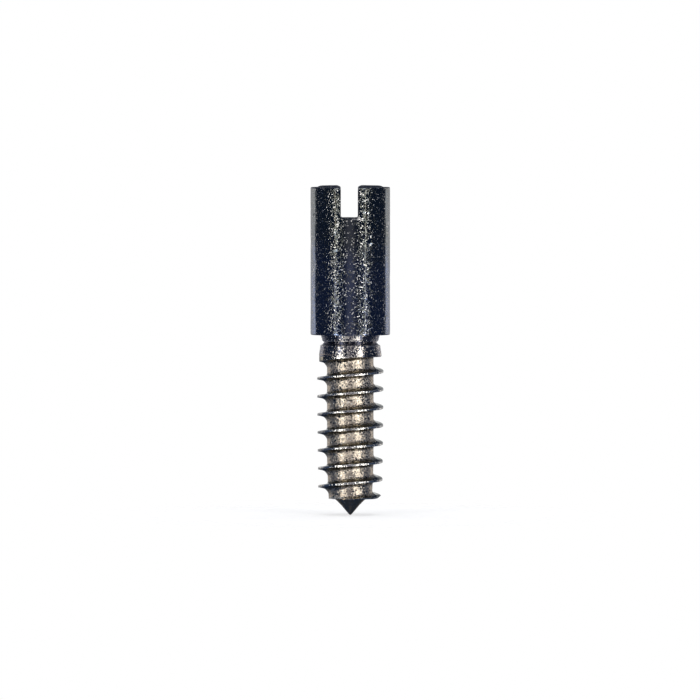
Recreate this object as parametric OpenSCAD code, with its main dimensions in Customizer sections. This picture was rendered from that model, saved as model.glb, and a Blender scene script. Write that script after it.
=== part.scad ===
// Side dial screw of a watch movement, in millimetres. It is one turned piece, drawn here
// as its six named regions: a slotted barrel head, a neck, a collar where the thread runs
// out, a core, the helical ridge on it and a cone point.
// The axis is Z with the head up, and the driver slot runs along Y. The origin lies on the
// axis, in the plane of the head's underside.

/* [Head] */
// Diameter of the barrel head
head_d = 0.80; // [0.70:0.02:1.40]
// Height of the barrel head, from its underside to the rim of its top
head_h = 1.475; // [0.80:0.005:2.40]
// Rise of the crowned top above its rim
crown_h = 0.016; // [0.004:0.002:0.03]
// Radius of the polished round at the rim of the top
rim_r = 0.012; // [0.006:0.002:0.03]

/* [Driver slot] */
// Width of the slot, across X
slot_w = 0.17; // [0.08:0.01:0.30]
// Depth of the slot below the middle of the top
slot_depth = 0.325; // [0.10:0.005:0.50]

/* [Neck] */
// Diameter of the neck where it meets the head
neck_d = 0.59; // [0.56:0.01:0.68]
// Length of the neck above its relief groove
neck_len = 0.06; // [0.03:0.01:0.20]
// How much the neck narrows on its way down, on the diameter
neck_taper = 0.028; // [0.004:0.004:0.03]
// Diameter at the bottom of the relief groove
groove_d = 0.52; // [0.48:0.01:0.53]
// Length of the relief groove
groove_len = 0.035; // [0.02:0.005:0.08]

/* [Collar] */
// Diameter of the collar below its top chamfer
collar_d = 0.60; // [0.56:0.01:0.66]
// Length of the collar
collar_len = 0.125; // [0.08:0.005:0.40]
// How much the collar widens on its way down, on the diameter
collar_flare = 0.026; // [0.004:0.002:0.05]
// Height of the chamfer at the top of the collar
collar_chamfer = 0.02; // [0.01:0.005:0.04]

/* [Thread] */
// Outside diameter of the thread at the collar
thread_d = 0.67; // [0.64:0.01:0.90]
// Outside diameter of the thread at the point
thread_end_d = 0.64; // [0.60:0.01:0.86]
// Advance of the right-hand thread in one turn
pitch = 0.18; // [0.12:0.01:0.30]
// Length of the shank, from the collar to its end face
shank_len = 1.42; // [0.60:0.02:3.00]
// Thickness of the ridge where it leaves the core
ridge_base = 0.05; // [0.03:0.005:0.07]
// Thickness of the ridge at its crest
ridge_crest = 0.016; // [0.010:0.002:0.026]
// Turns that the ridge stays joined to the collar
lead_turns = 0.41; // [0.20:0.01:0.50]
// Turns over which the ridge fades out at the point
fade_turns = 1.15; // [0.50:0.05:2.00]
// Direction in which the ridge leaves the collar, in degrees from +X
lead_angle = -33; // [-180:1:180]

/* [Core] */
// Diameter of the core
core_d = 0.466; // [0.40:0.002:0.476]
// Diameter of the core at its end face
core_end_d = 0.43; // [0.39:0.002:0.45]
// Length over which the core narrows to its end face
core_taper_len = 0.40; // [0.10:0.02:0.50]
// Size of the broken edge round the end face
end_break = 0.012; // [0.004:0.002:0.02]

/* [Point] */
// Diameter of the cone point at the end face
point_d = 0.31; // [0.10:0.01:0.36]
// Length of the cone point, to its sharp apex
point_len = 0.17; // [0.08:0.01:0.40]
// Radius of the blunt tip, which takes the apex away
tip_r = 0.012; // [0.004:0.002:0.02]

/* [Hidden] */
$fn = 96;

head_r = head_d / 2;
crown_r = head_r - rim_r;
top_z = head_h + crown_h;
slot_floor_z = top_z - slot_depth;
cut_over = 0.1;
// Share of the top's radius that is level; outside it the crown rounds off
crown_flat = 0.4;
crown_steps = 5;

neck_r = neck_d / 2;
neck_low_r = (neck_d - neck_taper) / 2;
groove_r = groove_d / 2;
groove_z = -neck_len;

collar_r = collar_d / 2;
collar_low_r = (collar_d + collar_flare) / 2;
collar_top_r = collar_r - collar_chamfer;
collar_z = groove_z - groove_len;
collar_low_z = collar_z - collar_len;

core_r = core_d / 2;
core_end_r = core_end_d / 2;
end_z = collar_low_z - shank_len;
core_taper_z = end_z + core_taper_len;

// The ridge's centre line starts half a base above the collar's lower face, and near the
// end face it stays on a level that keeps the ridge above the broken edge
ridge_half = ridge_base / 2;
ridge_start_z = collar_low_z + ridge_half;
ridge_rest_z = end_z + end_break + ridge_half;
// How far the centre line may lag behind the helix before it would touch the turn above
ridge_lag = pitch - 1.15 * ridge_base;
ridge_turns = (ridge_start_z - ridge_rest_z + ridge_lag) / pitch;
join_turns = 0.5;
rings_per_turn = 36;
ring_count = ceil(ridge_turns * rings_per_turn);
// Heights on the ridge at which its section has points, from its root to its crest
section_steps = [0, 0.4, 1];
section_size = 2 * len(section_steps);
// Least height of the ridge at its two ends, as a share of the full thread, and its least
// thickness where it leaves the collar
least_rise = 0.13;
least_lip = 0.006;

point_r = point_d / 2;
point_slope = atan2(point_len, point_r);

// Points of an arc about (r, z), from one angle to another
function arc(r, z, radius, from, to, steps = 4) =
    [for (i = [0:steps])
        let (a = from + (to - from) * i / steps)
        [r + radius * cos(a), z + radius * sin(a)]];

function limit(x, low, high) = max(low, min(high, x));
function ease(x) = let (t = limit(x, 0, 1)) t * t * (3 - 2 * t);
function mix(a, b, t) = a + (b - a) * t;

// Rise of the crowned top at a share of its radius
function crown_rise(share) =
    crown_h * (1 - pow(limit((share - crown_flat) / (1 - crown_flat), 0, 1), 3));

// Radius of the core at height z
function core_r_at(z) = mix(core_r, core_end_r, limit((core_taper_z - z) / core_taper_len, 0, 1));

// Radius of the full crest at height z
function crest_r_at(z) =
    mix(thread_d, thread_end_d, limit((collar_low_z - z) / shank_len, 0, 1)) / 2;

// Half the ridge's thickness at a height on it, from 0 at its root to 1 at its crest
function half_at(rise) = mix(ridge_crest / 2, ridge_half, pow(1 - rise, 1.5));

// Height of the ridge's centre line after a number of turns
function ridge_z(turn) = max(ridge_start_z - pitch * turn, ridge_rest_z);

// Share of the ridge's section that is clear of the collar's lower face
function clear_of_collar(turn) =
    let (cover = limit((ridge_z(turn) - collar_low_z - ridge_crest / 2)
                       / (ridge_half - ridge_crest / 2), 0, 1))
    1 - pow(cover, 2 / 3);

// Height of the crest as a share of the full thread: as wide as the collar at first, then
// full, then fading towards the point
function crest_share(turn) =
    let (z = ridge_z(turn),
         collar_share = min(1, (collar_low_r - core_r) / (crest_r_at(collar_low_z) - core_r)),
         lead = mix(collar_share, 1, ease((turn - lead_turns) / join_turns)),
         fade = 1 - pow(limit(1 - (ridge_turns - turn) / fade_turns, 0, 1), 2))
    max(least_rise, lead * fade * clear_of_collar(turn));

// One section of the ridge, in its own half plane: up its lower side, down its upper side.
// While the ridge is joined to the collar, its upper side lies on the collar's lower face.
function ridge_section(turn) =
    let (z = ridge_z(turn),
         share = crest_share(turn),
         shown = clear_of_collar(turn),
         joined = 1 - ease((turn - lead_turns) / join_turns),
         low = [for (s = section_steps)
             min(collar_low_z - least_lip, z - half_at(s * shown))],
         high = [for (s = section_steps)
             mix(min(collar_low_z, z + half_at(s)), collar_low_z, joined)],
         radius = [for (s = section_steps)
             let (root = core_r_at(z)) root + s * share * (crest_r_at(z) - root)],
         last = len(section_steps) - 1)
    concat([for (i = [0:last]) [radius[i], low[i]]],
           [for (i = [last:-1:0]) [radius[i], high[i]]]);

module slotted_head() {
    color([0.13, 0.14, 0.20])
    difference() {
        rotate_extrude()
            polygon(concat(
                [[0, 0], [head_r, 0]],
                arc(crown_r, head_h - rim_r, rim_r, 0, 90),
                [for (i = [crown_steps - 1:-1:0])
                    let (share = mix(crown_flat, 1, i / crown_steps))
                    [crown_r * share, head_h + crown_rise(share)]],
                [[0, top_z]]));
        translate([-slot_w / 2, -head_r - cut_over, slot_floor_z])
            cube([slot_w, head_d + 2 * cut_over, slot_depth + cut_over]);
    }
}

module neck() {
    color([0.20, 0.20, 0.24])
    rotate_extrude()
        polygon([
            [0, 0],
            [neck_r, 0],
            [neck_low_r, groove_z],
            [groove_r, groove_z - 0.4 * groove_len],
            [collar_top_r, collar_z],
            [0, collar_z]]);
}

module thread_collar() {
    color([0.55, 0.55, 0.54])
    rotate_extrude()
        polygon([
            [0, collar_z],
            [collar_top_r, collar_z],
            [collar_r, collar_z - collar_chamfer],
            [collar_low_r, collar_low_z],
            [0, collar_low_z]]);
}

module shank_core() {
    color([0.56, 0.51, 0.44])
    rotate_extrude()
        polygon([
            [0, collar_low_z],
            [core_r, collar_low_z],
            [core_r, core_taper_z],
            [core_r_at(end_z + end_break), end_z + end_break],
            [core_end_r - end_break, end_z],
            [0, end_z]]);
}

module screw_thread() {
    rings = [for (i = [0:ring_count])
        let (turn = ridge_turns * i / ring_count, angle = lead_angle - 360 * turn)
        for (p = ridge_section(turn))
        [p[0] * cos(angle), p[0] * sin(angle), p[1]]];
    sides = [for (i = [0:ring_count - 1]) for (j = [0:section_size - 1])
        let (a = i * section_size + j,
             b = i * section_size + (j + 1) % section_size)
        [a, b, b + section_size, a + section_size]];
    start_cap = [for (j = [section_size - 1:-1:0]) j];
    end_cap = [for (j = [0:section_size - 1]) ring_count * section_size + j];
    color([0.70, 0.68, 0.62])
    polyhedron(points = rings, faces = concat([start_cap, end_cap], sides), convexity = 10);
}

module cone_point() {
    tip_z = end_z - point_len;
    // The blunted tip is an arc that runs smoothly into the cone
    tip_centre_z = tip_z + tip_r / cos(point_slope);
    color([0.12, 0.12, 0.14])
    rotate_extrude()
        polygon(concat(
            [[0, end_z], [point_r, end_z]],
            arc(0, tip_centre_z, tip_r, point_slope - 90, -90)));
}

slotted_head();
neck();
thread_collar();
shank_core();
screw_thread();
cone_point();
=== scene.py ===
"""The looks of a side dial screw of a watch movement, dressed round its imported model.

Every surface is built in millimetres and written to Blender in metres. The axis is Z with
the head up, and the driver slot runs along Y.
"""
import math

import bmesh
import bpy
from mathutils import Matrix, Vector, noise


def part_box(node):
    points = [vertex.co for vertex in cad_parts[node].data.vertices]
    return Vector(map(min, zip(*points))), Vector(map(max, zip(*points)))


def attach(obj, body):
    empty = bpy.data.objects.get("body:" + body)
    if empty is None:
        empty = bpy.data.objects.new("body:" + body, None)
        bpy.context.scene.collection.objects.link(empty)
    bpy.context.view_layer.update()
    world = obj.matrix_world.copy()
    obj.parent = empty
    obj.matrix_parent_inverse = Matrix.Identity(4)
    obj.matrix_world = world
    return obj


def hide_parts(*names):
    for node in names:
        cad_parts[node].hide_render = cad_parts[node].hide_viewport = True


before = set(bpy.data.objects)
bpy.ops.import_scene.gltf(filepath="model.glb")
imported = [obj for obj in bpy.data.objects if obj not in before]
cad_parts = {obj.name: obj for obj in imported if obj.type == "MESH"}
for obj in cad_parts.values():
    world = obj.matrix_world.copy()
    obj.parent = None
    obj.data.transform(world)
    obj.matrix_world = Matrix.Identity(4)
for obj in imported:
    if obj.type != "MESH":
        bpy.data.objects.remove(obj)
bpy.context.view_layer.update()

MM = 0.001
TURN = 2 * math.pi
QUARTER = math.pi / 2
# Distance between two layers of the same noise
NOISE_STEP = 50

# Edges sharper than this many degrees are creased
CREASE = 38
# Points nearer than this are made one
MERGE = 0.00005


def span(node):
    """Lowest height, highest height and radius of a region, in millimetres."""
    low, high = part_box(node)
    return low.z / MM, high.z / MM, min(high.x, high.y) / MM


# Driving sizes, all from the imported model
HEAD_LOW, HEAD_TOP, HEAD_R = span("slotted_head")
NECK_LOW, NECK_HIGH = span("neck")[:2]
COLLAR_LOW, COLLAR_HIGH, COLLAR_R = span("thread_collar")
END_Z, _, CORE_R = span("shank_core")
THREAD_R = span("screw_thread")[2]
TIP_Z, POINT_HIGH = span("cone_point")[:2]


def mix(a, b, share):
    return a + (b - a) * share


def limit(x, low=0.0, high=1.0):
    return max(low, min(high, x))


def ease(x):
    """Smooth change from 0 to 1, level on both sides."""
    t = limit(x)
    return t * t * (3 - 2 * t)


def ripple(point, size, layer):
    """Smooth noise from -1 to 1 at a point in millimetres, with features of about that size."""
    return noise.noise(Vector((point[0], point[1], point[2] + NOISE_STEP * layer)) / size)


def round_axis(radius, angle, z):
    return (radius * math.cos(angle), radius * math.sin(angle), z)


def ring_of(radius, z, steps):
    return [round_axis(radius, TURN * i / steps, z) for i in range(steps)]


def through(points, gap):
    """A (radius, height) profile with extra points, so that no step is longer than the gap."""
    made = [points[0]]
    for (r0, z0), (r1, z1) in zip(points, points[1:]):
        steps = max(1, math.ceil(math.hypot(r1 - r0, z1 - z0) / gap))
        made += [(mix(r0, r1, i / steps), mix(z0, z1, i / steps)) for i in range(1, steps + 1)]
    return made


class Skin:
    """The points of one surface, in millimetres, its faces and the marks of its finish."""

    def __init__(self):
        self.points = []
        self.faces = []
        self.marks = {}

    def row(self, points):
        """Adds a row of points and gives their numbers."""
        start = len(self.points)
        self.points.extend(tuple(p) for p in points)
        return list(range(start, len(self.points)))

    def join(self, upper, lower, closed=True):
        """Fills the strip between two rows of equal length."""
        count = len(upper)
        for i in range(count if closed else count - 1):
            j = (i + 1) % count
            self.faces.append((upper[i], lower[i], lower[j], upper[j]))

    def join_all(self, rows, closed=True):
        """Fills the strips between rows that are given from top to bottom."""
        for upper, lower in zip(rows, rows[1:]):
            self.join(upper, lower, closed)

    def cap(self, ring, centre, up=True):
        """Closes a ring with a fan about a point."""
        hub = self.row([centre])[0]
        for i, a in enumerate(ring):
            b = ring[(i + 1) % len(ring)]
            self.faces.append((hub, a, b) if up else (hub, b, a))

    def mark(self, label, value_at):
        """Gives every point a value of its own for the finish."""
        self.marks[label] = [value_at(p) for p in self.points]

    def mesh(self, name):
        mesh = bpy.data.meshes.new(name)
        mesh.from_pydata([[c * MM for c in p] for p in self.points], [], self.faces)
        return mesh


def turned(profile, steps):
    """A closed surface of revolution through (radius, height) points, from top to bottom."""
    skin = Skin()
    rows = [skin.row(ring_of(radius, z, steps)) for radius, z in profile]
    skin.join_all(rows)
    skin.cap(rows[0], (0, 0, profile[0][1]))
    skin.cap(rows[-1], (0, 0, profile[-1][1]), up=False)
    return skin


def placed(name, data):
    """A new object in the scene."""
    made = bpy.data.objects.new(name, data)
    bpy.context.scene.collection.objects.link(made)
    return made


def piece(name, skin, material, nodes, merge=MERGE):
    """A shown piece that rides on the body and stands for its CAD nodes."""
    mesh = skin.mesh(name)
    for label, values in skin.marks.items():
        mesh.attributes.new(label, "FLOAT", "POINT").data.foreach_set("value", values)
    shape = bmesh.new()
    shape.from_mesh(mesh)
    bmesh.ops.remove_doubles(shape, verts=shape.verts, dist=merge * MM)
    bmesh.ops.dissolve_degenerate(shape, edges=shape.edges, dist=merge * MM)
    bmesh.ops.recalc_face_normals(shape, faces=shape.faces)
    shape.to_mesh(mesh)
    shape.free()
    mesh.shade_smooth()
    mesh.set_sharp_from_angle(angle=math.radians(CREASE))
    mesh.materials.append(material)
    made = placed(name, mesh)
    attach(made, "root")
    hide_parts(*nodes)
    return made


def cut_flat(made, z, keep_below):
    """Cuts a piece level at a height and closes the cut."""
    shape = bmesh.new()
    shape.from_mesh(made.data)
    way = 1 if keep_below else -1
    geometry = shape.verts[:] + shape.edges[:] + shape.faces[:]
    cut = bmesh.ops.bisect_plane(shape, geom=geometry, plane_co=(0, 0, z * MM),
                                 plane_no=(0, 0, way), clear_outer=True)
    edges = [e for e in cut["geom_cut"] if isinstance(e, bmesh.types.BMEdge)]
    bmesh.ops.holes_fill(shape, edges=edges)
    bmesh.ops.recalc_face_normals(shape, faces=shape.faces)
    shape.to_mesh(made.data)
    shape.free()


# Head. Its crowned top is domed a little, and falls off outside a share of its radius
CROWN_RISE = 0.016
CROWN_FLAT = 0.76
CROWN_FALL = 0.85
CROWN_FALL_WIDTH = 0.12
CROWN_DOME = 0.15
CROWN_DOME_POWER = 6
RIM_ROUND = 0.012
FOOT_ROUND = 0.008
RIM_Z = HEAD_TOP - CROWN_RISE

# Slot, which the saw cut a little to the left of the axis
SLOT_WIDTH = 0.17
SLOT_DEPTH = 0.325
SLOT_FLOOR = HEAD_TOP - SLOT_DEPTH
SLOT_SHIFT = -0.010
# Its upright edges are rounded, but nearly sharp where they meet its floor
SLOT_EDGE_ROUND = 0.007
SLOT_EDGE_SHARP = 1e-5
SLOT_EDGE_FADE = 0.03
# Rounds along its floor and, as a multiple of the rim's, along its top
SLOT_FLOOR_ROUND = 0.018
SLOT_TOP_ROUND = 1.5
# Fall of the head's top beside it
SLOT_CORNER_DROP = 0.013
SLOT_CORNER_REACH = 0.042
# Saw marks on its floor, which end a little before its edges
SLOT_ROUGHNESS = 0.010
SLOT_ROUGH_SIZE = 0.013
SLOT_SMOOTH_EDGE = 0.004

# Directions of the slot's two walls at the barrel's surface, from straight along the slot
RIGHT_WALL = math.asin((SLOT_WIDTH / 2 + SLOT_SHIFT) / HEAD_R)
LEFT_WALL = math.asin((SLOT_WIDTH / 2 - SLOT_SHIFT) / HEAD_R)

# Steps round the barrel, across and along the slot, and round its edges, and the distance
# between the barrel's rows
HEAD_ARC_STEPS = 150
SLOT_STEPS = 10
SLOT_LENGTH_STEPS = 60
EDGE_STEPS = 4
RIM_STEPS = 5
TOP_STEPS = 16
TOP_CENTRE = 0.52
HEAD_ROW_GAP = 0.0095
FIRST_ROWS = (0.0012, 0.003, 0.006)
UNDERSIDE_SHARES = (0.96, 0.92, 0.88, 0.84, 0.80, 0.76, 0.72, 0.6, 0.3)

# Wear of the barrel's wall: long swells, short dips, and how deep below the wall it acts
WEAR_REACH = 0.03
SWELL = 0.0009
SWELL_SIZE = 0.16
DIP = 0.0016
DIP_SIZE = 0.07
DIP_FROM = 0.25

# Burr at the front end of the slot's floor
BURR_FRONT = -0.37
BURR_LEFT = 0.015
BURR_RIGHT = 0.105
BURR_HEIGHT = 0.011
BURR_LINE = 0.002
BURR_DEPTH = 0.0045
BURR_SIZE = 0.011

# Dents in the barrel: direction in degrees, height, size and depth in millimetres
HEAD_DENTS = [
    (-2, 0.55, 0.030, 0.006), (-4, 0.165, 0.022, 0.007), (4, 0.13, 0.016, 0.005),
    (181, 0.93, 0.035, 0.003), (178, 0.30, 0.030, 0.003), (-60, 0.91, 0.020, 0.003),
    (-118, 0.98, 0.024, 0.003), (-47, 1.41, 0.018, 0.004), (-44, 0.78, 0.014, 0.003),
    (62, 0.70, 0.030, 0.004), (120, 1.10, 0.026, 0.004), (145, 0.42, 0.022, 0.004),
]

# Bright specks: direction in degrees, height and size in millimetres. Each is a small pit,
# whose bare metal ends soon outside its size
HEAD_SPECKS = [
    (-44, 0.90, 0.014), (-46, 0.78, 0.011), (-47, 1.412, 0.010), (-64, 1.216, 0.011),
    (-60, 0.991, 0.014), (-61.5, 0.91, 0.022), (-85, 0.316, 0.016), (-124, 0.226, 0.011),
    (-30, 0.166, 0.010), (-112, 1.02, 0.012), (-38, 0.47, 0.010), (40, 1.12, 0.012),
    (75, 0.55, 0.014), (118, 0.86, 0.011), (150, 0.36, 0.013), (205, 1.20, 0.010),
    (12, 0.68, 0.011),
]
SPECK_DEPTH = 0.0042
SPECK_PITS = [(*speck, SPECK_DEPTH) for speck in HEAD_SPECKS]
SPECK_SHINE = 1.5
SPECK_FALL = 1.4

# Scuffs: direction in degrees, height, size in millimetres and strength
HEAD_SCUFFS = [
    (-116, 1.06, 0.050, 1.7), (-123, 1.01, 0.040, 1.5), (-110, 0.97, 0.045, 1.4),
    (-66, 0.62, 0.060, 0.6), (-112, 0.34, 0.080, 0.5), (-64, 0.14, 0.070, 0.6),
    (-106, 0.10, 0.060, 0.5), (-66, 1.40, 0.060, 0.9), (-108, 1.40, 0.070, 0.7),
    (30, 0.80, 0.070, 0.6), (85, 1.00, 0.080, 0.6), (110, 0.30, 0.080, 0.6),
    (170, 0.70, 0.060, 0.6), (190, 0.20, 0.060, 0.4),
]
SCUFF_MOST = 2

# Column down the barrel's front where the grain is thin
COLUMN_X = -0.016
COLUMN_HALF = 0.030
COLUMN_SHARE = 1.6
COLUMN_THINNING = 0.8
COLUMN_RIPPLE_SIZE = 0.06

# Worn edge at the barrel's foot
FOOT_WEAR = 3
FOOT_WEAR_SIZE = 0.09
FOOT_WEAR_HEIGHT = 0.004
FOOT_WEAR_REACH = 0.02

# Height where the blue begins to give way to black, the height over which it does, and the
# size of the ripples where they meet
DUSK_FROM = 0.50
DUSK_OVER = 0.55
DUSK_RIPPLE_SIZE = 0.16

# The dull finish, and the shade painted dark over it, reach this far below the rim's height
# and to each side of the slot's floor, and end this far before the slot's walls and the
# barrel's wall
MATT_SHADE_TOP = 0.003
MATT_SHADE_FLOOR = 0.012
MATT_SHADE_SIDE = 0.001
MATT_SHADE_END = 0.003


def crown_height(x, y):
    """Height of the top above its rim: it is crowned, and rounds off beside the slot."""
    share = limit(math.hypot(x, y) / (HEAD_R - RIM_ROUND))
    beside = abs(x - SLOT_SHIFT) - SLOT_WIDTH / 2
    corner = SLOT_CORNER_DROP * ease(1 - beside / SLOT_CORNER_REACH)
    fall = CROWN_FALL * ease((share - CROWN_FLAT) / CROWN_FALL_WIDTH)
    return CROWN_RISE * (1 - fall - CROWN_DOME * share ** CROWN_DOME_POWER) - corner


def half_outline(side, inset, corner, fill=0.0):
    """Outline of one half of the slotted head, from the slot's front corner round and back.

    side is 1 for the half at +X and -1 for the other. inset draws the outline in, corner is
    the radius at the slot's two upright edges, and fill moves its wall into the slot.
    """
    outer = HEAD_R - inset
    wall = SLOT_WIDTH / 2 + side * SLOT_SHIFT + inset * SLOT_TOP_ROUND - fill
    centre_x = wall + corner
    centre_y = math.sqrt((outer - corner) ** 2 - centre_x ** 2)
    reach = math.atan2(centre_y, centre_x)
    points = []
    for i in range(HEAD_ARC_STEPS + 1):
        a = mix(-reach, reach, i / HEAD_ARC_STEPS)
        points.append((outer * math.cos(a), outer * math.sin(a)))
    for i in range(1, EDGE_STEPS + 1):
        a = mix(reach, math.pi, i / EDGE_STEPS)
        points.append((centre_x + corner * math.cos(a), centre_y + corner * math.sin(a)))
    for i in range(1, SLOT_LENGTH_STEPS + 1):
        points.append((wall, mix(centre_y, -centre_y, i / SLOT_LENGTH_STEPS)))
    for i in range(1, EDGE_STEPS):
        a = mix(math.pi, TURN - reach, i / EDGE_STEPS)
        points.append((centre_x + corner * math.cos(a), -centre_y + corner * math.sin(a)))
    return [(side * x, side * y) for x, y in points]


def away_from(point, degrees, height):
    """Distance of a point from a spot on the barrel's wall."""
    return math.dist(point, round_axis(HEAD_R, math.radians(degrees), height))


def with_spots(value, point, spots):
    """A value with soft round spots added: direction, height, size and strength of each."""
    for degrees, height, size, strength in spots:
        value += strength * math.exp(-(away_from(point, degrees, height) / size) ** 2)
    return value


def on_burr(point):
    """Whether a point lies on the burr at the front end of the slot's floor."""
    x, y, z = point
    return (y < BURR_FRONT and BURR_LEFT < x < BURR_RIGHT
            and abs(z - SLOT_FLOOR) < BURR_HEIGHT)


def head_wear(point):
    """Draws the barrel's wall in by a few thousandths where it is scuffed or dented."""
    x, y, z = point
    radius = math.hypot(x, y)
    if radius < HEAD_R - WEAR_REACH:
        return point
    depth = SWELL * (1 + ripple(point, SWELL_SIZE, 1))
    depth += DIP * limit(ripple(point, DIP_SIZE, 2) - DIP_FROM)
    depth = with_spots(depth, point, HEAD_DENTS)
    depth = with_spots(depth, point, SPECK_PITS)
    if on_burr(point) and abs(z - SLOT_FLOOR) < BURR_LINE:
        depth += BURR_DEPTH * (0.5 + 0.5 * ripple(point, BURR_SIZE, 14))
    share = (radius - depth) / radius
    return (x * share, y * share, z)


def sawn(point):
    """Roughens the floor of the slot, all of it downwards."""
    x, y, z = point
    near_end = math.hypot(x, y) > HEAD_R - SLOT_SMOOTH_EDGE
    if near_end or abs(x - SLOT_SHIFT) > SLOT_WIDTH / 2 - SLOT_SMOOTH_EDGE:
        return point
    return (x, y, z - SLOT_ROUGHNESS * (0.5 + 0.5 * ripple(point, SLOT_ROUGH_SIZE, 6)))


def head_shine(point):
    """Bare bright metal: specks on the barrel, the burr at the slot and edges rubbed bright."""
    x, y, z = point
    shine = 1.0 if on_burr(point) else 0.0
    for degrees, height, size in HEAD_SPECKS:
        away = away_from(point, degrees, height)
        shine = max(shine, limit(SPECK_SHINE - SPECK_FALL * away / size))
    if z < FOOT_WEAR_HEIGHT and math.hypot(x, y) > HEAD_R - FOOT_WEAR_REACH:
        shine = max(shine, limit(FOOT_WEAR * ripple(point, FOOT_WEAR_SIZE, 7)))
    return shine


def head_scuff(point):
    """Where the barrel's grain is denser, and below 0 where it is thinner."""
    x, y = point[:2]
    curl_density = with_spots(0.0, point, HEAD_SCUFFS)
    column = limit(COLUMN_SHARE - abs(x - COLUMN_X) / COLUMN_HALF) if y < 0 else 0
    thinning = COLUMN_THINNING * column * (1 + 0.5 * ripple(point, COLUMN_RIPPLE_SIZE, 9))
    return limit(curl_density, 0, SCUFF_MOST) - thinning


def head_dusk(point):
    """How far the blue of the finish gives way to black: most of all near the top."""
    height_share = (point[2] - DUSK_FROM) / DUSK_OVER
    return ease(height_share + 0.5 * ripple(point, DUSK_RIPPLE_SIZE, 13))


def head_matt_and_shade(point):
    """The sawn floor of the slot and the end of the barrel are dull, and are painted dark as
    shade.
    """
    x, y, z = point
    if z > RIM_Z - MATT_SHADE_TOP:
        return 1.0
    between_walls = abs(x - SLOT_SHIFT) < SLOT_WIDTH / 2 - MATT_SHADE_SIDE
    on_floor = abs(z - SLOT_FLOOR) < MATT_SHADE_FLOOR and between_walls
    return 1.0 if on_floor and math.hypot(x, y) < HEAD_R - MATT_SHADE_END else 0.0


def barrel_ring(radius, z):
    """Ring whose points fall into line with the two halves and the slot's two ends."""
    stretches = ((RIGHT_WALL - QUARTER, QUARTER - RIGHT_WALL, HEAD_ARC_STEPS),
                 (QUARTER - RIGHT_WALL, QUARTER + LEFT_WALL, SLOT_STEPS),
                 (QUARTER + LEFT_WALL, 3 * QUARTER - LEFT_WALL, HEAD_ARC_STEPS),
                 (3 * QUARTER - LEFT_WALL, 3 * QUARTER + RIGHT_WALL, SLOT_STEPS))
    return [round_axis(radius, mix(start, end, i / steps), z)
            for start, end, steps in stretches
            for i in range(steps)]


def lower_barrel(skin):
    """Barrel below the slot, its rounded foot and its underside."""
    rows = []
    wall_rows = math.ceil((SLOT_FLOOR - HEAD_LOW - FOOT_ROUND) / HEAD_ROW_GAP)
    for i in range(wall_rows + 1):
        z = mix(SLOT_FLOOR, HEAD_LOW + FOOT_ROUND, i / wall_rows)
        rows.append(skin.row(map(head_wear, barrel_ring(HEAD_R, z))))
    for i in range(1, EDGE_STEPS + 1):
        a = QUARTER * i / EDGE_STEPS
        radius = HEAD_R - FOOT_ROUND * (1 - math.cos(a))
        z = HEAD_LOW + FOOT_ROUND * (1 - math.sin(a))
        rows.append(skin.row(map(head_wear, barrel_ring(radius, z))))
    for share in UNDERSIDE_SHARES:
        rows.append(skin.row(barrel_ring(HEAD_R * share, HEAD_LOW)))
    skin.join_all(rows)
    skin.cap(rows[-1], (0, 0, HEAD_LOW), up=False)


def slot_floor(skin):
    rows = []
    for i in range(SLOT_LENGTH_STEPS + 1):
        along = mix(-1, 1, i / SLOT_LENGTH_STEPS)
        points = []
        for j in range(SLOT_STEPS + 1):
            a = mix(-LEFT_WALL, RIGHT_WALL, j / SLOT_STEPS)
            end = head_wear((HEAD_R * math.sin(a), HEAD_R * math.cos(a), SLOT_FLOOR))
            across = mix(HEAD_R * math.sin(a), end[0], abs(along))
            points.append(sawn((across, along * end[1], SLOT_FLOOR)))
        rows.append(skin.row(points))
    skin.join_all(rows, closed=False)


def half_head(skin, side):
    """One of the two halves beside the slot: its walls, its rim and its top."""
    column = RIM_Z - RIM_ROUND - SLOT_FLOOR
    column_rows = math.ceil(column / HEAD_ROW_GAP)
    shares = [0, *(height / column for height in FIRST_ROWS)]
    shares += [i / column_rows for i in range(1, column_rows + 1)]
    rows = []
    for share in shares:
        z = mix(SLOT_FLOOR, RIM_Z - RIM_ROUND, share)
        above = z - SLOT_FLOOR
        corner = mix(SLOT_EDGE_SHARP, SLOT_EDGE_ROUND, ease(above / SLOT_EDGE_FADE))
        # The saw leaves a small round along each side of the slot's floor
        left = limit(SLOT_FLOOR_ROUND - above, 0, SLOT_FLOOR_ROUND)
        fill = SLOT_FLOOR_ROUND - math.sqrt(SLOT_FLOOR_ROUND ** 2 - left ** 2)
        outline = half_outline(side, 0, corner, fill if above > 0 else 0)
        rows.append(skin.row(head_wear((x, y, z + share * crown_height(x, y)))
                             for x, y in outline))
    for i in range(1, RIM_STEPS + 1):
        a = QUARTER * i / RIM_STEPS
        outline = half_outline(side, RIM_ROUND * (1 - math.cos(a)), SLOT_EDGE_ROUND)
        drop = RIM_ROUND * (1 - math.sin(a))
        rows.append(skin.row(head_wear((x, y, RIM_Z + crown_height(x, y) - drop))
                             for x, y in outline))
    centre = (side * HEAD_R * TOP_CENTRE, 0)
    outline = half_outline(side, RIM_ROUND, SLOT_EDGE_ROUND)
    for i in range(1, TOP_STEPS):
        share = i / TOP_STEPS
        ring = [(mix(x, centre[0], share), mix(y, centre[1], share)) for x, y in outline]
        rows.append(skin.row((x, y, RIM_Z + crown_height(x, y)) for x, y in ring))
    for lower, upper in zip(rows, rows[1:]):
        skin.join(upper, lower)
    skin.cap(rows[-1], (*centre, RIM_Z + crown_height(*centre)))


def slotted_head():
    skin = Skin()
    lower_barrel(skin)
    slot_floor(skin)
    for side in (1, -1):
        half_head(skin, side)
    skin.mark("matt_and_painted_shade", head_matt_and_shade)
    skin.mark("dusk", head_dusk)
    skin.mark("wear_and_highlight", head_shine)
    skin.mark("curl_density", head_scuff)
    return skin


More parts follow.
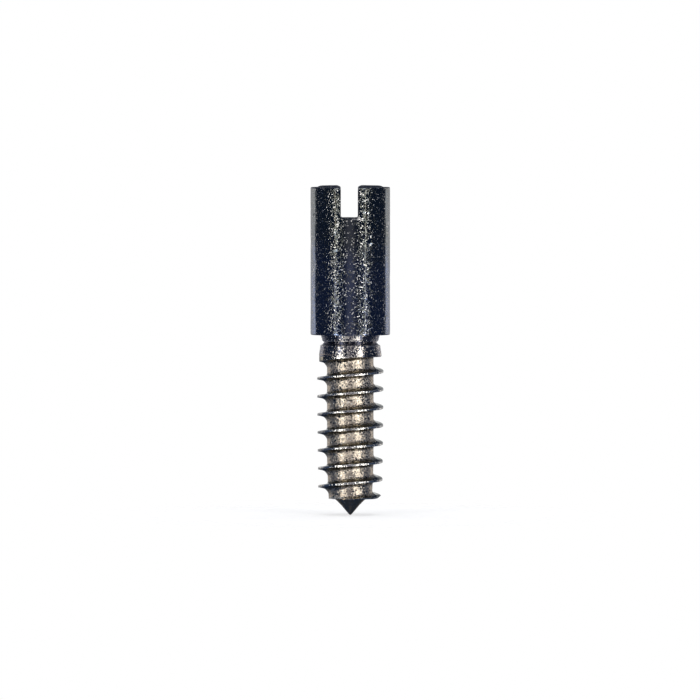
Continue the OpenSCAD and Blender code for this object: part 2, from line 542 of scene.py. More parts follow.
# Neck and collar: profiles as (radius, height) points, the longest step along each of them,
# and the steps round the axis
NECK_PROFILE = [
    (0.293, NECK_HIGH), (0.2945, -0.007), (0.2870, -0.034), (0.2825, -0.053),
    (0.2770, -0.063), (0.2630, -0.0725), (0.2610, -0.0750), (0.2640, -0.0785),
    (0.2720, -0.087), (0.2800, NECK_LOW),
]
COLLAR_PROFILE = [
    (0.2700, COLLAR_HIGH), (0.2800, COLLAR_HIGH), (0.2955, -0.1035), (0.2990, -0.1080),
    (0.3010, -0.1140), (0.3030, -0.1400), (0.3080, -0.1600), (0.3110, -0.1850),
    (0.3128, -0.2080), (0.3125, -0.2150), (0.3080, -0.2195), (0.3000, COLLAR_LOW),
    (0.2200, COLLAR_LOW),
]
NECK_GAP = 0.002
COLLAR_GAP = 0.004
NECK_STEPS = 240

# Turned rings: their depth and pitch, and the height where they begin, over RING_FADE
NECK_RINGS = (0.0009, 0.0165)
NECK_RINGS_FROM = -0.064
COLLAR_RINGS = (0.0003, 0.021)
COLLAR_RINGS_FROM = -0.105
RING_FADE = 0.01

# Painted highlights on the neck's front: patches of bright bare metal where the highlights
# fall, as outlines of (across, height) points, and how bare each of them is
NECK_HIGHLIGHT_PATCHES = [
    [(0.040, 0.01), (0.100, 0.01), (0.092, -0.050), (0.046, -0.054)],
    [(-0.064, 0.01), (0.004, 0.01), (0.000, -0.060), (-0.056, -0.060)],
    [(-0.110, 0.01), (-0.064, 0.01), (-0.056, -0.060), (-0.100, -0.060)],
    [(0.004, 0.01), (0.040, 0.01), (0.046, -0.054), (0.000, -0.060)],
]
NECK_HIGHLIGHT_BARENESS = [1.0, 0.66, 0.22, 0.62]
# How much thinner the grain is on the neck
NECK_SCUFF = -1.2

# Painted highlights on the collar's front: patches of bright bare metal in the highlights'
# shape, as outlines of (across, height) points
COLLAR_HIGHLIGHT_PATCHES = [
    [(-0.126, -0.154), (-0.066, -0.199), (0.014, -0.214), (-0.006, -0.234), (-0.076, -0.244),
     (-0.146, -0.264), (-0.116, -0.214)],
    [(0.064, -0.149), (0.129, -0.144), (0.124, -0.194), (0.104, -0.239), (0.054, -0.214),
     (0.054, -0.174)],
]
# Painted sheen on the collar's front, as half-bare metal, and how bare it is
COLLAR_SHEEN_PATCH = [[(-0.15, -0.095), (0.14, -0.095), (0.13, -0.23), (-0.16, -0.25)]]
SHEEN_BARENESS = 0.36

# Heights and half widths of the two worn edges, how bare they are in their middle, and the
# ripples that break them up
NECK_EDGE_Z = -0.0605
NECK_EDGE_HALF = 0.006
NECK_EDGE_WEAR = 1
COLLAR_EDGE_Z = -0.106
COLLAR_EDGE_HALF = 0.007
COLLAR_EDGE_WEAR = 1.3
COLLAR_EDGE_RIPPLE = 1.2
EDGE_RIPPLE_SIZE = 0.05

# How ragged a patch's edge is, and the places about a point that tell how soft it is
PATCH_RAGGED = 0.010
PATCH_RAGGED_SIZE = 0.025
PATCH_SPOTS = ((0, 0), (0.012, 0), (-0.012, 0), (0, 0.012), (0, -0.012))


def inside(x, z, outline):
    """Whether a point lies within an outline."""
    crossed = False
    for (x0, z0), (x1, z1) in zip(outline, outline[1:] + outline[:1]):
        if (z0 > z) != (z1 > z) and x < x0 + (x1 - x0) * (z - z0) / (z1 - z0):
            crossed = not crossed
    return crossed


def patch_share(point, outlines):
    """Share of a small spot round a point that lies in one of the outlines, at the front."""
    x, y, z = point
    if y > 0:
        return 0.0
    shift = PATCH_RAGGED * ripple(point, PATCH_RAGGED_SIZE, 10)
    held = sum(any(inside(x + shift + dx, z + shift + dz, outline) for outline in outlines)
               for dx, dz in PATCH_SPOTS)
    return held / len(PATCH_SPOTS)


def neck_wear_and_highlights(point):
    """Bare metal on the neck: highlights painted as bright patches on its front, and the rubbed
    edge over the groove.
    """
    off_edge = abs(point[2] - NECK_EDGE_Z) / NECK_EDGE_HALF
    edge = limit(NECK_EDGE_WEAR - off_edge + ripple(point, EDGE_RIPPLE_SIZE, 3))
    return max(edge, *(wear * patch_share(point, [outline])
                       for wear, outline in zip(NECK_HIGHLIGHT_BARENESS, NECK_HIGHLIGHT_PATCHES)))


def collar_wear_and_highlights(point):
    """Bare metal on the collar: highlights and sheen painted as bright patches on its front,
    and the rubbed edge of its chamfer.
    """
    off_edge = abs(point[2] - COLLAR_EDGE_Z) / COLLAR_EDGE_HALF
    ripples = COLLAR_EDGE_RIPPLE * ripple(point, EDGE_RIPPLE_SIZE, 4)
    edge = limit(COLLAR_EDGE_WEAR - off_edge + ripples)
    return max(edge, patch_share(point, COLLAR_HIGHLIGHT_PATCHES),
               SHEEN_BARENESS * patch_share(point, COLLAR_SHEEN_PATCH))


def ringed(profile, depth, pitch, share_at):
    """A profile with fine turned rings, all of them cut inwards."""
    return [(radius + depth * (math.sin(TURN * z / pitch) - 1) * share_at(z), z)
            for radius, z in profile]


def neck():
    """Neck with fine turned rings, and the relief groove below it."""
    profile = ringed(through(NECK_PROFILE, NECK_GAP), *NECK_RINGS,
                     lambda z: ease((z - NECK_RINGS_FROM) / RING_FADE))
    skin = turned(profile, NECK_STEPS)
    # This mark carries the neck's painted highlights as well as its rubbed edge
    skin.mark("wear_and_highlight", neck_wear_and_highlights)
    skin.mark("curl_density", lambda point: NECK_SCUFF)
    return skin


def collar():
    """Collar where the thread runs out, with a broken top edge and a ragged lower edge."""
    profile = ringed(through(COLLAR_PROFILE, COLLAR_GAP), *COLLAR_RINGS,
                     lambda z: ease((COLLAR_RINGS_FROM - z) / RING_FADE))
    skin = turned(profile, NECK_STEPS)
    # This mark carries the collar's painted highlights and sheen as well as its rubbed edge
    skin.mark("wear_and_highlight", collar_wear_and_highlights)
    return skin


# Threaded shank. Its crests are counted downwards from the one whose height at the right is
# given. The skin's own count starts SKIN_LEAD turns higher, and its first row is at FIRST_TURN
PITCH = 0.18
CREST_HEIGHT_RIGHT = -0.5335
SKIN_LEAD = 3
FIRST_TURN = -2
THREAD_STEPS = 168

# Dip of the thread at the right of each turn, and how narrow the dip is
CREST_DROOP = 0.018
DROOP_POWER = 4

# Core and crest towards the end of the shank
CORE_END_R = 0.216
CORE_TAPER = 0.40
CORE_TAPER_POWER = 1.3
THREAD_END_R = 0.319
END_CHAMFER_R = 0.249
END_CHAMFER_SLOPE = 1.24

# Swells of the valley's wall: how high, how far from the crest they begin and end, and how
# narrow each is round the axis
SHOULDER_RISE = 0.021
SHOULDER_REACH = 0.070
SHOULDER_END = 0.02
UNDER_POWER = 1.8
OVER_POWER = 0.7

# The turn whose ridge is joined to the collar, the directions in degrees between which it is,
# where it has come free, and the size of the joined part
JOINED_TURN = -2
JOINED_FROM = -20
JOINED_START = 15
JOINED_TO = -183
FREE_FROM = -222
JOINED_R = 0.3115
JOINED_EDGE = 0.004

# Near the collar the ridge is a little narrower than the collar, and is full below it
LEAD_INSET = 0.002
LEAD_FROM = 0.05
LEAD_OVER = 0.09

# The worn crest, the worn rim at the shank's end, and the shade painted dark on the ridge's
# flanks, from near their roots up, and on the swells under and over the crest
CREST_WEAR = 0.95
CREST_WEAR_RIPPLE = 0.90
CREST_WEAR_SIZE = 0.05
CREST_WEAR_FROM = 0.85
CREST_WEAR_OVER = 0.1
END_RIM = 0.022
END_RIM_FADE = 0.008
ROOT_PAINTED_SHADE = 2.9
ROOT_REACH = 0.12
UNDER_PAINTED_SHADE = 2.4
OVER_PAINTED_SHADE = 1.2

# The ridge's lower and upper sides, as (distance from the crest's lower edge, share of the
# ridge's height)
RIDGE_UNDER = [
    (0.0, 1.0), (0.0022, 0.998), (0.0042, 0.990), (0.0057, 0.955), (0.0070, 0.87),
    (0.0090, 0.73), (0.0115, 0.55), (0.0145, 0.38), (0.0185, 0.23), (0.0235, 0.12),
    (0.0295, 0.05), (0.0365, 0.015), (0.0430, 0.0),
]
RIDGE_OVER = [
    (0.0020, 0.9998), (0.0060, 0.998), (0.0100, 0.994), (0.0135, 0.987), (0.0158, 0.960),
    (0.0172, 0.86), (0.0185, 0.72), (0.0204, 0.56), (0.0228, 0.40), (0.0258, 0.28),
    (0.0297, 0.18), (0.0345, 0.10), (0.0410, 0.05), (0.0490, 0.015), (0.0560, 0.0),
]
VALLEY_STEPS = 9

# The shank reaches this far up into the collar, and its points are merged more coarsely
SHANK_OVERLAP = 0.03
SHANK_MERGE = 0.0002


def core_radius(z):
    taper = limit((END_Z + CORE_TAPER - z) / CORE_TAPER)
    return mix(CORE_R, CORE_END_R, taper ** CORE_TAPER_POWER)


def crest_radius(z):
    return mix(THREAD_R, THREAD_END_R, limit((COLLAR_LOW - z) / (COLLAR_LOW - END_Z)) ** 2)


def droop(turn):
    """How far the thread, which was cut by hand, dips at the right of each turn."""
    return CREST_DROOP * ((1 + math.cos(TURN * turn)) / 2) ** DROOP_POWER


def crest_height(turn):
    """Height of the crest's lower edge."""
    return CREST_HEIGHT_RIGHT - PITCH * turn - droop(turn)


def ridge_stations():
    """One pitch of the thread as (distance below the crest, share of the ridge's height)."""
    low, high = RIDGE_UNDER[-1][0], PITCH - RIDGE_OVER[-1][0]
    valley = [(mix(low, high, i / VALLEY_STEPS), 0.0) for i in range(1, VALLEY_STEPS)]
    over = [(PITCH - up, share) for up, share in reversed(RIDGE_OVER)]
    return RIDGE_UNDER + valley + over


def shoulder(angle, down):
    """Swells of the valley's wall: under the crest at the left, and over it at the right."""
    at_right = (1 + math.cos(angle)) / 2
    under = ease((SHOULDER_REACH - down) / (SHOULDER_REACH - SHOULDER_END))
    over = ease((SHOULDER_REACH - PITCH + down) / (SHOULDER_REACH - SHOULDER_END))
    return (SHOULDER_RISE * (1 - at_right) ** UNDER_POWER * under,
            SHOULDER_RISE * at_right ** OVER_POWER * over)


def joined_to_collar(z, turn):
    """How far the gap between the collar and the first ridge is filled at a point."""
    direction = -(360 * turn % 360)
    if z < crest_height(JOINED_TURN - direction / 360) - JOINED_EDGE:
        return 0.0
    start = ease((JOINED_FROM + JOINED_START - direction) / JOINED_START)
    end = ease((direction - FREE_FROM) / (JOINED_TO - FREE_FROM))
    return start * end


def screw_thread():
    """Core and ridge as one helical skin: each turn's lower edge is the next one's crest."""
    skin = Skin()
    stations = ridge_stations()
    first = FIRST_TURN * THREAD_STEPS
    last = math.ceil((CREST_HEIGHT_RIGHT - END_Z) / PITCH + 2) * THREAD_STEPS
    rows = []
    wear_and_highlight = []
    curl_density = []
    for i in range(first, last + THREAD_STEPS + 1):
        turn = i / THREAD_STEPS
        angle = -TURN * turn
        crest_z = crest_height(turn - SKIN_LEAD)
        points = []
        for down, share in stations:
            z = crest_z - down
            under, over = shoulder(angle, down)
            core = core_radius(z) + under + over
            full = crest_radius(z)
            crest = mix(min(full, COLLAR_R - LEAD_INSET), full,
                        ease((COLLAR_LOW - LEAD_FROM - z) / LEAD_OVER))
            radius = core + share * (crest - core)
            chamfer = END_CHAMFER_R + END_CHAMFER_SLOPE * (z + droop(turn) - END_Z)
            radius = min(radius, max(core, chamfer))
            rise = (radius - core) / (crest - core)
            # The crest is worn bright, and shade is painted dark on the ridge's flanks and on
            # the swells
            rubbed = CREST_WEAR + CREST_WEAR_RIPPLE * ripple(
                round_axis(radius, angle, crest_z), CREST_WEAR_SIZE, 12)
            rim = ease((END_Z + END_RIM - z) / END_RIM_FADE)
            wear_and_highlight.append(rubbed * max(rim, ease((rise - CREST_WEAR_FROM) / CREST_WEAR_OVER)))
            swell_shade = (UNDER_PAINTED_SHADE * under + OVER_PAINTED_SHADE * over) / SHOULDER_RISE
            curl_density.append(-ROOT_PAINTED_SHADE * ease(rise / ROOT_REACH) - swell_shade)
            joined = joined_to_collar(z, turn)
            # Where the ridge is joined to the collar it takes the collar's marks, painted
            # highlights among them
            if joined > 0:
                radius = max(radius, mix(core, JOINED_R, joined))
                wear_and_highlight[-1] = collar_wear_and_highlights(round_axis(radius, angle, z))
            points.append(round_axis(radius, angle, z))
        rows.append(skin.row(points))
    # Each column of stations meets the next, and its last station meets the crest a turn on
    for i in range(len(rows) - THREAD_STEPS - 1):
        a = rows[i] + [rows[i + THREAD_STEPS][0]]
        b = rows[i + 1] + [rows[i + 1 + THREAD_STEPS][0]]
        skin.join(b, a, closed=False)
    skin.marks["wear_and_highlight"] = wear_and_highlight
    skin.marks["curl_density"] = curl_density
    return skin


# Cone point: its profile, the longest step along it, the steps round it and its fine rings
CONE_PROFILE = [
    (0.155, POINT_HIGH), (0.1520, END_Z - 0.006), (0.1440, END_Z - 0.015),
    (0.1300, END_Z - 0.027), (0.0900, END_Z - 0.068), (0.0500, END_Z - 0.116),
    (0.0240, END_Z - 0.146), (0.0140, END_Z - 0.157), (0.0070, END_Z - 0.1625),
    (0.0020, TIP_Z),
]
CONE_GAP = 0.004
CONE_STEPS = 160
CONE_RING_DEPTH = 0.0007
CONE_RING_PITCH = 0.014


def cone_point():
    """Cone with a slightly hollow flank, fine rings and a blunted tip."""
    profile = [(radius + min(0, CONE_RING_DEPTH * math.sin(TURN * z / CONE_RING_PITCH)), z)
               for radius, z in through(CONE_PROFILE, CONE_GAP)]
    return turned(profile, CONE_STEPS)


# Materials: the grain's fields, as multiples of its scale, and what is taken from them
BLOB_SCALE = 1.4
PATCH_SCALE = 0.16
PATCH_DETAIL = 2.0
FINE_SCALE = 1.15
MIDDLE = (0.38, 0.62)
GAP_LEVEL = 0.60
GAP_SOFT = 0.07
CURL_RANGE = (0.05, 0.60)
CURL_TWIST = 0.4

# What the piece's own values do to the finish
CURL_DENSITY_SCALE = 0.14
WORN_SPECKLE = 2.4
# On the dull parts the colour is painted shade: a share goes back to the ground's colour, then
# a share to a near black tone
SHADE_GROUND_SHARE = 0.6
PAINTED_SHADE_SHARE = 0.7
PAINTED_SHADE_TONE = (0.02, 0.02, 0.03)
MATT_ROUGHNESS = 0.45
DUSK_TONE = (0.125, 0.145, 0.165)


def bare_tree(owner):
    """The empty node tree of a material or a world."""
    owner.use_nodes = True
    owner.node_tree.nodes.clear()
    return owner.node_tree


def add(tree, kind, **settings):
    node = tree.nodes.new(kind)
    for key, value in settings.items():
        setattr(node, key, value)
    return node


def link(tree, source, target):
    tree.links.new(source, target)


def maths(tree, operation, a, b=None, clamp=False):
    """A Math node; a and b are sockets or numbers."""
    node = add(tree, "ShaderNodeMath", operation=operation, use_clamp=clamp)
    for i, value in enumerate((a, b)):
        if value is None:
            continue
        if isinstance(value, (int, float)):
            node.inputs[i].default_value = value
        else:
            link(tree, value, node.inputs[i])
    return node.outputs[0]


def times(tree, a, b):
    return maths(tree, "MULTIPLY", a, b)


def remap(tree, value, low, high, to_low=0.0, to_high=1.0):
    """Smooth change from one range to another."""
    node = add(tree, "ShaderNodeMapRange", interpolation_type="SMOOTHSTEP")
    link(tree, value, node.inputs["Value"])
    node.inputs["From Min"].default_value = low
    node.inputs["From Max"].default_value = high
    node.inputs["To Min"].default_value = to_low
    node.inputs["To Max"].default_value = to_high
    return node.outputs["Result"]


def blend_colours(tree, share, a, b):
    """Colour a with a share of colour b; each is a socket or three numbers."""
    node = add(tree, "ShaderNodeMix", data_type="RGBA")
    link(tree, share, node.inputs[0])
    for socket, value in ((node.inputs[6], a), (node.inputs[7], b)):
        if isinstance(value, tuple):
            socket.default_value = (*value, 1)
        else:
            link(tree, value, socket)
    return node.outputs[2]


def millimetres(tree):
    """The piece's own coordinates, in millimetres."""
    place = add(tree, "ShaderNodeTexCoord")
    scale = add(tree, "ShaderNodeVectorMath", operation="SCALE")
    scale.inputs["Scale"].default_value = 1 / MM
    link(tree, place.outputs["Object"], scale.inputs[0])
    return scale.outputs[0]


def grain_group():
    """Fine curled grain of etched, hardened steel: thin bright curls on a darker ground."""
    made = bpy.data.node_groups.new("curled_grain", "ShaderNodeTree")
    for label in ("Grains per mm", "Curl", "Line", "Density", "Patches", "Offset"):
        made.interface.new_socket(label, in_out="INPUT", socket_type="NodeSocketFloat")
    for label in ("Curls", "Relief", "Speck"):
        made.interface.new_socket(label, in_out="OUTPUT", socket_type="NodeSocketFloat")
    start = add(made, "NodeGroupInput")
    end = add(made, "NodeGroupOutput")
    spread = add(made, "ShaderNodeCombineXYZ")
    link(made, start.outputs["Offset"], spread.inputs["Z"])
    shifted = add(made, "ShaderNodeVectorMath", operation="ADD")
    link(made, millimetres(made), shifted.inputs[0])
    link(made, spread.outputs[0], shifted.inputs[1])

    def field(scale, detail=0.0, twist=None):
        noise_field = add(made, "ShaderNodeTexNoise")
        link(made, shifted.outputs[0], noise_field.inputs["Vector"])
        link(made, times(made, start.outputs["Grains per mm"], scale),
             noise_field.inputs["Scale"])
        noise_field.inputs["Detail"].default_value = detail
        if twist:
            link(made, twist, noise_field.inputs["Distortion"])
        return noise_field.outputs["Fac"]

    curl = field(1.0, twist=start.outputs["Curl"])
    blob = field(BLOB_SCALE)
    patch = remap(made, field(PATCH_SCALE, PATCH_DETAIL), *MIDDLE)
    # A curl lies where its field crosses the middle, and is broken up by the finer field
    away = maths(made, "ABSOLUTE", maths(made, "SUBTRACT", curl, 0.5))
    line = maths(made, "SUBTRACT", 1.0, maths(made, "DIVIDE", away, start.outputs["Line"]),
                 clamp=True)
    gap = maths(made, "SUBTRACT", GAP_LEVEL, times(made, patch, start.outputs["Patches"]))
    gap = maths(made, "SUBTRACT", gap, start.outputs["Density"])
    broken = add(made, "ShaderNodeMapRange", interpolation_type="SMOOTHSTEP")
    link(made, blob, broken.inputs["Value"])
    link(made, maths(made, "SUBTRACT", gap, GAP_SOFT), broken.inputs["From Min"])
    link(made, maths(made, "ADD", gap, GAP_SOFT), broken.inputs["From Max"])
    curls = remap(made, times(made, line, broken.outputs["Result"]), *CURL_RANGE)
    link(made, curls, end.inputs["Curls"])
    fine = maths(made, "SUBTRACT", field(FINE_SCALE), 0.5)
    link(made, times(made, curls, fine), end.inputs["Relief"])
    link(made, maths(made, "SUBTRACT", blob, 0.5), end.inputs["Speck"])
    return made


GRAIN = grain_group()


def steel(name, ground, curls, wear_and_highlight, depth, density, grain=44, line=0.07, patches=0.12,
          offset=0.0, edge=(1.0, 1.0, 1.0), pits=1.4):
    """Hardened steel: bright rough curls of grain on a dark and smooth ground.

    ground, curls and worn are (colour, roughness). depth is the height of the curls in
    millimetres, and pits how rough the bare metal is beside it. grain is how many curls
    there are in a millimetre, line is their thickness, density and patches are how much of
    the ground they take and how unevenly, and offset sets them apart from another piece's.
    edge tints the shine of the piece's edges. The piece's own values do the rest: "worn"
    bares the metal to the finish worn, and on the fronts of the neck and the collar this bare
    metal is painted highlight; "scuff" makes the curls denser, or thinner below 0, and on the
    thread the thinner curls are painted shade on the ridge's flanks and swells; "matt" dulls
    the surface and paints shade dark on the head's top and the slot's floor; and "dusk" turns
    the ground black.
    """
    material = bpy.data.materials.new(name)
    tree = bare_tree(material)
    out = add(tree, "ShaderNodeOutputMaterial")
    shader = add(tree, "ShaderNodeBsdfPrincipled")
    link(tree, shader.outputs[0], out.inputs["Surface"])
    shader.inputs["Metallic"].default_value = 1.0
    shader.inputs["Specular Tint"].default_value = (*edge, 1)
    grains = add(tree, "ShaderNodeGroup", node_tree=GRAIN)
    for label, value in (("Grains per mm", grain), ("Curl", CURL_TWIST), ("Line", line),
                         ("Patches", patches), ("Offset", offset)):
        grains.inputs[label].default_value = value

    def mark(label):
        return add(tree, "ShaderNodeAttribute", attribute_name=label).outputs["Fac"]

    # The curl density mark: real scuffs on the head, and on the thread its values below 0 are
    # painted shade that thins the bright curls
    link(tree, maths(tree, "ADD", density, times(tree, mark("curl_density"), CURL_DENSITY_SCALE)),
         grains.inputs["Density"])
    shown = grains.outputs["Curls"]
    speckle = times(tree, grains.outputs["Speck"], WORN_SPECKLE)
    bare = remap(tree, maths(tree, "ADD", mark("wear_and_highlight"), speckle), *MIDDLE)
    matt_and_painted_shade = mark("matt_and_painted_shade")
    tone = blend_colours(tree, mark("dusk"), ground[0], DUSK_TONE)
    tone = blend_colours(tree, shown, tone, curls[0])
    # Bare metal colour: real wear, and on the fronts of the neck and the collar painted
    # highlights
    tone = blend_colours(tree, bare, tone, wear_and_highlight[0])
    # Painted shade: the head's top and the slot's floor are darkened towards a near black tone;
    # only the added roughness is the dull finish
    tone = blend_colours(tree, times(tree, matt_and_painted_shade, SHADE_GROUND_SHARE), tone, ground[0])
    tone = blend_colours(tree, times(tree, matt_and_painted_shade, PAINTED_SHADE_SHARE), tone, PAINTED_SHADE_TONE)
    rough = remap(tree, shown, 0.0, 1.0, ground[1], curls[1])
    rough = maths(tree, "ADD", rough, times(tree, bare, wear_and_highlight[1] - ground[1]))
    rough = maths(tree, "ADD", rough, times(tree, matt_and_painted_shade, MATT_ROUGHNESS))
    link(tree, tone, shader.inputs["Base Color"])
    link(tree, rough, shader.inputs["Roughness"])
    bump = add(tree, "ShaderNodeBump")
    bump.inputs["Strength"].default_value = 1.0
    bump.inputs["Distance"].default_value = depth * MM
    rubbed = times(tree, times(tree, bare, pits), grains.outputs["Speck"])
    link(tree, maths(tree, "ADD", grains.outputs["Relief"], rubbed), bump.inputs["Height"])
    link(tree, bump.outputs["Normal"], shader.inputs["Normal"])
    return material


HEAD_STEEL = steel("blue_black_barrel_steel", ground=((0.140, 0.178, 0.285), 0.05),
                   curls=((0.18, 0.187, 0.162), 0.29), wear_and_highlight=((0.85, 0.83, 0.80), 0.25),
                   depth=0.0015, density=0.12, grain=46, line=0.09)
NECK_STEEL = steel("turned_neck_steel", ground=((0.15, 0.16, 0.21), 0.20),
                   curls=((0.68, 0.61, 0.52), 0.15), wear_and_highlight=((0.98, 0.92, 0.84), 0.30),
                   depth=0.0040, density=0.10, line=0.08, patches=0.20, offset=3.0, pits=0.5)
THREAD_STEEL = steel("cut_thread_steel", ground=((0.34, 0.315, 0.26), 0.09),
                     curls=((0.94, 0.81, 0.66), 0.40), wear_and_highlight=((0.97, 0.95, 0.91), 0.22),
                     depth=0.0045, density=0.29, line=0.28, offset=7.0,
                     edge=(0.50, 0.52, 0.53), pits=1.0)
POINT_STEEL = steel("dark_point_steel", ground=((0.50, 0.41, 0.28), 0.32),
                    curls=((0.45, 0.43, 0.38), 0.20), wear_and_highlight=((0.6, 0.6, 0.6), 0.30),
                    depth=0.002, density=0.0, offset=11.0, edge=(0.6, 0.6, 0.6))

piece("barrel_head", slotted_head(), HEAD_STEEL, ["slotted_head"])
piece("turned_neck", neck(), NECK_STEEL, ["neck"])
piece("run_out_collar", collar(), NECK_STEEL, ["thread_collar"])
shank = piece("threaded_shank", screw_thread(), THREAD_STEEL,
              ["shank_core", "screw_thread"], merge=SHANK_MERGE)
cut_flat(shank, COLLAR_LOW + SHANK_OVERLAP, keep_below=True)
cut_flat(shank, END_Z, keep_below=False)
piece("cone_tip", cone_point(), POINT_STEEL, ["cone_point"])


# Room: the camera's lens and place, and the lamp above
LENS = 500.0
SENSOR = 36.0
FRAME_WIDTH = 7.0
VIEW_HEIGHT = -0.154
VIEW_SIDE = -0.003
VIEW_TILT = 2.0
NEAREST_SEEN = 1
FARTHEST_SEEN = 1000
TOP_LAMP_SIZE = 14.0
TOP_LAMP_HEIGHT = 22.0
TOP_LAMP_RADIANCE = 1.5

# These keep an arc cosine and a division within their range
NEARLY_ONE = 0.99999
LEAST_FLAT = 0.001

# Where the room's parts begin and end. A pair is the range over which one comes or goes, as a
# height (the upward part of a direction) or in degrees
LOW_BAND = ((-0.20, -0.14), (0.20, 0.26))
LEVEL_BAND = ((-0.11, -0.07), (0.12, 0.17))
RING_BAND = ((37, 40), (47, 50))
RING_LEVEL = 0.03
RING_SIDE_GAP = (0.07, 0.12)
RING_FOOT = (-0.62, -0.52)
RING_HEAD = (0.39, 0.49)
FRONT_TUBE = ((43.5, 44.3), (45.5, 46.3))
BACK_PANEL = ((123, 125.5), (176, 179))
BACK_FADE = (121, 165)
LENS_SIDE = (4, 20)
SIDE_GLOW = ((116, 126), (160, 170))
GLOW_HEIGHT = (0.4, 0.7)
CEILING = (0.75, 0.95)
STRAIGHT_BEHIND = (166, 174)
RIGHT_HALF = (-0.05, 0.05)

# Light of the room's parts
ROOM_GLOW = (0.24, 0.25, 0.28)
ROOM_DIM = (0.026, 0.041, 0.080)
ROOM_LENS_SIDE = (0.23, 0.22, 0.25)
ROOM_TOP = (0.5, 0.5, 0.5)
RING_LEFT = (6.5, 6.4, 6.1)
RING_RIGHT = (7.6, 7.5, 7.2)
TUBE_LEFT = (1.9, 1.5, 1.0)
TUBE_RIGHT = (2.0, 1.6, 1.1)
BACK_EDGE = (1.30, 1.25, 1.22)
BACK_MIDDLE = (0.52, 0.52, 0.54)
WHITE = (1, 1, 1)

# Floor: its radius, the radii over which it fades away, its colour and its lift to white
FLOOR_R = 3.0
FLOOR_RINGS = (1, 0.5, 0.25, 0.1)
FLOOR_STEPS = 96
FLOOR_FADE = (0.7, 2.8)
FLOOR_TONE = (0.8, 0.8, 0.8, 1)
FLOOR_LIFT = 0.68


def camera():
    data = bpy.data.cameras.new("view")
    data.lens = LENS
    data.sensor_width = SENSOR
    data.clip_start = NEAREST_SEEN * MM
    data.clip_end = FARTHEST_SEEN * MM
    made = placed("view", data)
    away = FRAME_WIDTH * LENS / SENSOR
    tilt = math.radians(VIEW_TILT)
    made.location = Vector((VIEW_SIDE, -away * math.cos(tilt),
                            VIEW_HEIGHT + away * math.sin(tilt))) * MM
    made.rotation_euler = (QUARTER - tilt, 0, 0)
    bpy.context.scene.camera = made


def top_light():
    """Soft square lamp above the screw."""
    data = bpy.data.lights.new("top_softbox", "AREA")
    data.shape = "SQUARE"
    data.size = TOP_LAMP_SIZE * MM
    data.energy = TOP_LAMP_RADIANCE * math.pi * (TOP_LAMP_SIZE * MM) ** 2
    made = placed("top_softbox", data)
    made.location = Vector((0, 0, TOP_LAMP_HEIGHT)) * MM
    made.visible_camera = False


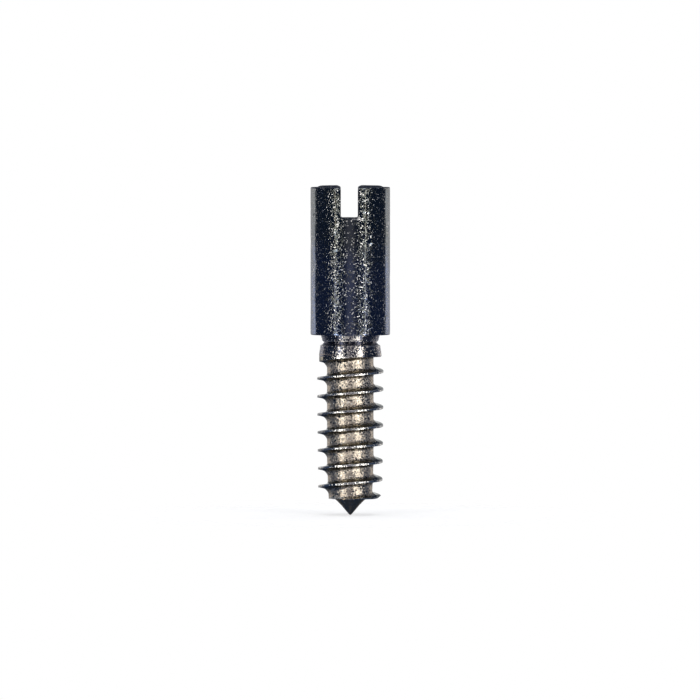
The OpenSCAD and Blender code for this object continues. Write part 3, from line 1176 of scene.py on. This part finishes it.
def surroundings():
    """White to the camera; for the metal and the floor a dim room with pale lights.

    Angles are degrees round the axis from the front. A soft ring and a thin tube on each
    side stand before the screw, and a broad panel on each side stands behind it.
    """
    world = bpy.data.worlds.new("pale_studio")
    bpy.context.scene.world = world
    tree = bare_tree(world)
    out = add(tree, "ShaderNodeOutputWorld")
    shader = add(tree, "ShaderNodeBackground")
    link(tree, shader.outputs[0], out.inputs["Surface"])
    place = add(tree, "ShaderNodeTexCoord")
    split = add(tree, "ShaderNodeSeparateXYZ")
    link(tree, place.outputs["Generated"], split.inputs[0])
    across, along, up = split.outputs

    def product(a, b):
        return times(tree, a, b)

    def comes(value, ends):
        return remap(tree, value, *ends)

    def goes(value, ends):
        return remap(tree, value, *ends, 1.0, 0.0)

    def between(value, band):
        """1 within a band, with soft ends."""
        return product(comes(value, band[0]), goes(value, band[1]))

    def degrees_from_front(along_share):
        ahead = product(along_share, -NEARLY_ONE)
        return product(maths(tree, "ARCCOSINE", ahead), 180 / math.pi)

    flat = maths(tree, "SQRT", maths(tree, "ADD", product(across, across),
                                     product(along, along)))
    flat = maths(tree, "MAXIMUM", flat, LEAST_FLAT)
    round_angle = degrees_from_front(maths(tree, "DIVIDE", along, flat))
    off_axis = degrees_from_front(along)
    off_level = maths(tree, "ABSOLUTE", maths(tree, "SUBTRACT", up, RING_LEVEL))
    right = comes(across, RIGHT_HALF)
    level = between(up, LEVEL_BAND)

    # The soft ring stands round the line of sight, and is open at its sides, top and bottom
    ring = between(off_axis, RING_BAND)
    ring = product(ring, comes(off_level, RING_SIDE_GAP))
    ring = product(ring, comes(up, RING_FOOT))
    ring = product(ring, goes(up, RING_HEAD))
    tube = product(between(round_angle, FRONT_TUBE), level)
    back = product(between(round_angle, BACK_PANEL), level)
    glow = product(between(round_angle, SIDE_GLOW), goes(off_level, GLOW_HEIGHT))

    room = blend_colours(tree, goes(round_angle, LENS_SIDE), ROOM_DIM, ROOM_LENS_SIDE)
    room = blend_colours(tree, comes(up, CEILING), room, ROOM_TOP)
    room = blend_colours(tree, glow, room, ROOM_GLOW)
    room = blend_colours(tree, ring, room, blend_colours(tree, right, RING_LEFT, RING_RIGHT))
    room = blend_colours(tree, tube, room, blend_colours(tree, right, TUBE_LEFT, TUBE_RIGHT))
    back_light = blend_colours(tree, comes(round_angle, BACK_FADE), BACK_EDGE, BACK_MIDDLE)
    room = blend_colours(tree, back, room, back_light)
    rays = add(tree, "ShaderNodeLightPath")
    seen = maths(tree, "MAXIMUM", rays.outputs["Is Camera Ray"],
                 rays.outputs["Is Transmission Ray"])
    # Metal shows the white background too, where it lies straight behind the screw
    behind = product(comes(round_angle, STRAIGHT_BEHIND), between(up, LOW_BAND))
    behind = product(behind, rays.outputs["Is Glossy Ray"])
    seen = maths(tree, "MAXIMUM", seen, behind)
    link(tree, blend_colours(tree, seen, room, WHITE), shader.inputs["Color"])


def floor():
    """Pale round floor under the point, which keeps the screw's shadow and fades to white."""
    skin = Skin()
    rings = [skin.row(ring_of(FLOOR_R * share, TIP_Z, FLOOR_STEPS)) for share in FLOOR_RINGS]
    for outer, inner in zip(rings, rings[1:]):
        skin.join(inner, outer)
    skin.cap(rings[-1], (0, 0, TIP_Z))
    made = placed("studio_floor", skin.mesh("studio_floor"))
    material = bpy.data.materials.new("pale_floor")
    tree = bare_tree(material)
    out = add(tree, "ShaderNodeOutputMaterial")
    diffuse = add(tree, "ShaderNodeBsdfDiffuse")
    diffuse.inputs["Color"].default_value = FLOOR_TONE
    rays = add(tree, "ShaderNodeLightPath")
    lift = add(tree, "ShaderNodeEmission")
    link(tree, times(tree, rays.outputs["Is Camera Ray"], FLOOR_LIFT),
         lift.inputs["Strength"])
    lit = add(tree, "ShaderNodeAddShader")
    link(tree, diffuse.outputs[0], lit.inputs[0])
    link(tree, lift.outputs[0], lit.inputs[1])
    clear = add(tree, "ShaderNodeBsdfTransparent")
    away = add(tree, "ShaderNodeVectorMath", operation="LENGTH")
    flat = add(tree, "ShaderNodeVectorMath", operation="MULTIPLY")
    flat.inputs[1].default_value = (1, 1, 0)
    link(tree, millimetres(tree), flat.inputs[0])
    link(tree, flat.outputs[0], away.inputs[0])
    fade = add(tree, "ShaderNodeMixShader")
    # The metal mirrors the studio straight through the floor
    link(tree, maths(tree, "MAXIMUM", remap(tree, away.outputs["Value"], *FLOOR_FADE),
                     rays.outputs["Is Glossy Ray"]), fade.inputs[0])
    link(tree, lit.outputs[0], fade.inputs[1])
    link(tree, clear.outputs[0], fade.inputs[2])
    link(tree, fade.outputs[0], out.inputs["Surface"])
    made.data.materials.append(material)


camera()
surroundings()
floor()
top_light()

bpy.context.scene.view_settings.view_transform = "Standard"
